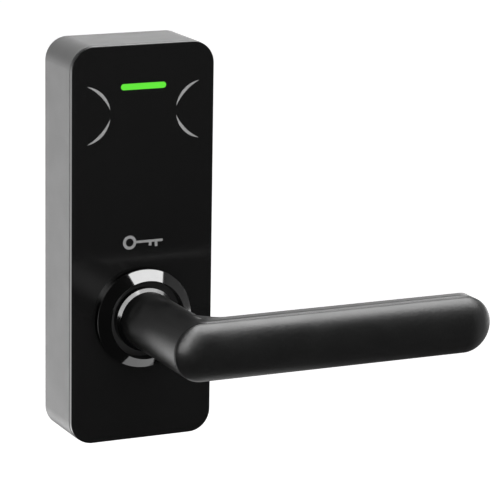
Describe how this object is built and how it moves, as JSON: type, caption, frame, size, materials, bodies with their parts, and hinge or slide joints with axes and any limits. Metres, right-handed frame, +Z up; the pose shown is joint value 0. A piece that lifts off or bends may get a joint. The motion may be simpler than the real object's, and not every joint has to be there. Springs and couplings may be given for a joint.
{
  "type": "electronic door lock trim",
  "caption": "Slim electronic outside trim with a contactless reader window, status light and lever handle that turns a square spindle through a motor clutch.",
  "frame": {"origin": "on the lever's turning axis, in the plane of the door's face", "axes": "+X along the lever from its axis to its tip, +Y into the door, +Z up along the casing's long side"},
  "size_m": [0.17, 0.1452, 0.175],
  "materials": {
    "casing_paint": "satin dark grey paint",
    "front_gloss": "gloss black",
    "seal_rubber": "matte black",
    "light_green": "clear green, lit",
    "mark_grey": "satin grey inlay",
    "black_chrome": "mirror bright, dark tinted",
    "lever_black": "satin black, fine texture",
    "nylon": "matte black",
    "spring_steel": "oiled",
    "zinc_steel": "zinc plated",
    "hard_steel": "machined",
    "board_green": "solder mask",
    "copper": "bare copper",
    "led_white": "clear",
    "connector_white": "moulded",
    "ribbon_white": "flexible film",
    "chip_black": "moulded",
    "can_tin": "tinned",
    "brass": "turned",
    "cell_wrap": "plain shrink wrap"
  },
  "bodies": {
    "trim": {"casing": "casing_paint", "front_plate": "front_gloss", "plate_seal": "seal_rubber", "light_bar": "light_green", "reader_marks": "mark_grey", "key_badge": "mark_grey", "rose_ring": "black_chrome", "handle_bush": "nylon", "wave_washer": "spring_steel", "return_spring": "spring_steel", "stop_pins": "zinc_steel", "base_plate": "zinc_steel", "fixing_posts": "zinc_steel", "casing_screws": "zinc_steel", "cable_grommet": "seal_rubber", "reader_frame": "nylon", "reader_board": "board_green", "antenna_coil": "copper", "reader_leds": "led_white", "reader_connector": "connector_white", "ribbon_cable": "ribbon_white", "main_board": "board_green", "microcontroller": "chip_black", "radio_module": "can_tin", "buzzer": "chip_black", "board_connector": "connector_white", "board_pillars": "brass", "board_screws": "zinc_steel", "battery_holder": "nylon", "battery_cell": "cell_wrap", "battery_contacts": "can_tin", "drive_motor": "can_tin", "motor_bracket": "zinc_steel", "fork_guide_pins": "zinc_steel"},
    "lever": {"lever_handle": "lever_black", "grip_cover": "lever_black", "neck_collar": "black_chrome", "handle_circlip": "spring_steel", "handle_driver": "hard_steel", "driver_screws": "zinc_steel"},
    "spindle": {"spindle_hub": "hard_steel", "square_spindle": "hard_steel", "spindle_pin": "zinc_steel"},
    "clutch": {"clutch_ring": "hard_steel"},
    "fork": {"clutch_fork": "nylon"},
    "drive_screw": {"drive_screw": "brass"}
  },
  "joints": [
    {"name": "lever_turn", "type": "hinge", "parent": "trim", "child": "lever", "pos_m": [0, 0, 0], "axis": [0, 1, 0], "range_deg": [0, 45], "stiffness_Nm_per_rad": 1.2, "springref_deg": -20.05},
    {"name": "spindle_turn", "type": "hinge", "parent": "trim", "child": "spindle", "pos_m": [0, 0, 0], "axis": [0, 1, 0], "range_deg": [0, 45]},
    {"name": "clutch_slide", "type": "slide", "parent": "spindle", "child": "clutch", "axis": [0, 1, 0], "range_m": [0, 0.002]},
    {"name": "drive_turn", "type": "hinge", "parent": "trim", "child": "drive_screw", "pos_m": [0, 0, 0.0245], "axis": [0, 1, 0], "range_deg": [0, 720]},
    {"name": "fork_slide", "type": "slide", "parent": "trim", "child": "fork", "axis": [0, 1, 0], "range_m": [0, 0.002]}
  ],
  "couplings": [
    {"joint": "spindle_turn", "follows": "lever_turn", "ratio": 1},
    {"joint": "drive_turn", "follows": "clutch_slide", "rad_per_m": 6283.2},
    {"joint": "fork_slide", "follows": "clutch_slide", "ratio": 1}
  ]
}
